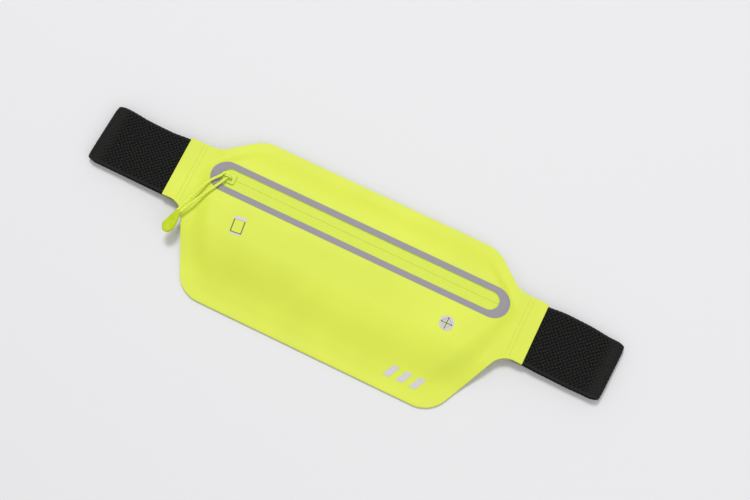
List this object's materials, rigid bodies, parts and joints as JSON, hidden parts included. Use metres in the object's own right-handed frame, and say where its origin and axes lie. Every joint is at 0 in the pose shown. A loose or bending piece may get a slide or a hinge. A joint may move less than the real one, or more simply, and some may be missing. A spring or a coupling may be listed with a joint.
{
  "type": "waist pack",
  "caption": "Slim elastic waist pack: flat zipped fabric pouch on a wide elastic belt folded back under it, with a side-release buckle.",
  "frame": {"origin": "below the middle of the pack, on the surface it lies on", "axes": "+X along the belt to the wearer's left-hand end, +Y to the pack's top edge, +Z out of the front panel"},
  "size_m": [0.362, 0.1128, 0.0149],
  "materials": {
    "neon_fabric": "smooth coated stretch fabric, soft sheen",
    "port_rubber": "soft silver-grey moulded rubber",
    "bond_film": "heat-bond film, satin",
    "zip_tape": "fine knitted zip tape",
    "zip_coil": "moulded nylon coil, satin",
    "reflective_film": "retro-reflective glass-bead film, matte grey",
    "print_film": "heat-transfer print, pale silver",
    "slider_metal": "die-cast zinc, neon lacquer",
    "pull_cord": "braided polyester cord",
    "grip_rubber": "soft moulded rubber, satin",
    "elastic_webbing": "woven elastic, birdseye weave",
    "neon_thread": "polyester thread",
    "black_thread": "polyester thread",
    "buckle_plastic": "moulded acetal, fine grain"
  },
  "bodies": {
    "pack": {"front_panel": "neon_fabric", "back_panel": "neon_fabric", "perimeter_bond": "bond_film", "zip_bond_film": "bond_film", "zip_tape_upper": "zip_tape", "zip_tape_lower": "zip_tape", "zip_coil_upper": "zip_coil", "zip_coil_lower": "zip_coil", "zip_end_stops": "zip_coil", "reflective_trim": "reflective_film", "phone_mark": "print_film", "corner_mark": "print_film", "port_ring": "print_film", "left_strap_front": "elastic_webbing", "right_strap_front": "elastic_webbing", "left_wing_stitches": "neon_thread", "right_wing_stitches": "neon_thread"},
    "zip_slider": {"slider_body": "slider_metal", "slider_bridge": "slider_metal"},
    "pull_loop": {"pull_cord_loop": "pull_cord"},
    "pull_strands": {"pull_cord_strands": "pull_cord", "pull_grip": "grip_rubber"},
    "left_belt": {"left_strap_back": "elastic_webbing", "left_hem_stitches": "black_thread", "buckle_socket": "buckle_plastic"},
    "right_belt": {"right_strap_back": "elastic_webbing"},
    "buckle_plug": {"plug_base": "buckle_plastic", "strap_tail": "elastic_webbing", "tail_hem_stitches": "black_thread"},
    "latch_front": {"latch_arm_front": "buckle_plastic"},
    "latch_back": {"latch_arm_back": "buckle_plastic"},
    "belt_keeper": {"strap_keeper": "buckle_plastic"},
    "port_petal_1": {"port_petal_1": "port_rubber"},
    "port_petal_2": {"port_petal_2": "port_rubber"},
    "port_petal_3": {"port_petal_3": "port_rubber"},
    "port_petal_4": {"port_petal_4": "port_rubber"}
  },
  "joints": [
    {"name": "left_belt_unfold", "type": "hinge", "parent": "pack", "child": "left_belt", "pos_m": [-0.181, 0.016, 0.0032], "axis": [0, 1, 0], "range_deg": [0, 180]},
    {"name": "right_belt_unfold", "type": "hinge", "parent": "pack", "child": "right_belt", "pos_m": [0.181, 0.016, 0.0032], "axis": [0, -1, 0], "range_deg": [0, 180]},
    {"name": "zip_slide", "type": "slide", "parent": "pack", "child": "zip_slider", "axis": [1, 0, 0], "range_m": [0, 0.18], "deforming": ["zip_coil_upper", "zip_coil_lower"]},
    {"name": "pull_swing", "type": "hinge", "parent": "zip_slider", "child": "pull_loop", "pos_m": [-0.0943, 0.0229, 0.013], "axis": [0, 0, 1], "range_deg": [-125, 50]},
    {"name": "pull_lift", "type": "hinge", "parent": "pull_loop", "child": "pull_strands", "pos_m": [-0.09557, 0.02018, 0.013], "axis": [-0.9063, 0.4226, 0], "range_deg": [0, 90]},
    {"name": "buckle_insert", "type": "slide", "parent": "right_belt", "child": "buckle_plug", "axis": [-1, 0, 0], "range_m": [0, 0.027], "stiffness_N_per_m": 200, "deforming": ["right_strap_back", "latch_arm_front", "latch_arm_back"]},
    {"name": "latch_squeeze_front", "type": "hinge", "parent": "buckle_plug", "child": "latch_front", "pos_m": [0.0196, -0.001, 0.0027], "axis": [0, 0, -1], "range_deg": [0, 10], "stiffness_Nm_per_rad": 0.05},
    {"name": "latch_squeeze_back", "type": "hinge", "parent": "buckle_plug", "child": "latch_back", "pos_m": [0.0196, 0.033, 0.0027], "axis": [0, 0, 1], "range_deg": [0, 10], "stiffness_Nm_per_rad": 0.05},
    {"name": "keeper_slide", "type": "slide", "parent": "right_belt", "child": "belt_keeper", "axis": [1, 0, 0], "range_m": [-0.007, 0.011]},
    {"name": "port_petal_1_bend", "type": "hinge", "parent": "pack", "child": "port_petal_1", "pos_m": [0.07543, -0.00017, 0.0106], "axis": [0.7071, -0.7071, 0], "range_deg": [0, 75], "stiffness_Nm_per_rad": 0.0005},
    {"name": "port_petal_2_bend", "type": "hinge", "parent": "pack", "child": "port_petal_2", "pos_m": [0.07157, -0.00017, 0.0106], "axis": [0.7071, 0.7071, 0], "range_deg": [0, 75], "stiffness_Nm_per_rad": 0.0005},
    {"name": "port_petal_3_bend", "type": "hinge", "parent": "pack", "child": "port_petal_3", "pos_m": [0.07157, -0.00402, 0.0106], "axis": [-0.7071, 0.7071, 0], "range_deg": [0, 75], "stiffness_Nm_per_rad": 0.0005},
    {"name": "port_petal_4_bend", "type": "hinge", "parent": "pack", "child": "port_petal_4", "pos_m": [0.07543, -0.00402, 0.0106], "axis": [-0.7071, -0.7071, 0], "range_deg": [0, 75], "stiffness_Nm_per_rad": 0.0005}
  ],
  "couplings": [
    {"joint": "latch_squeeze_back", "follows": "latch_squeeze_front", "ratio": 1}
  ]
}
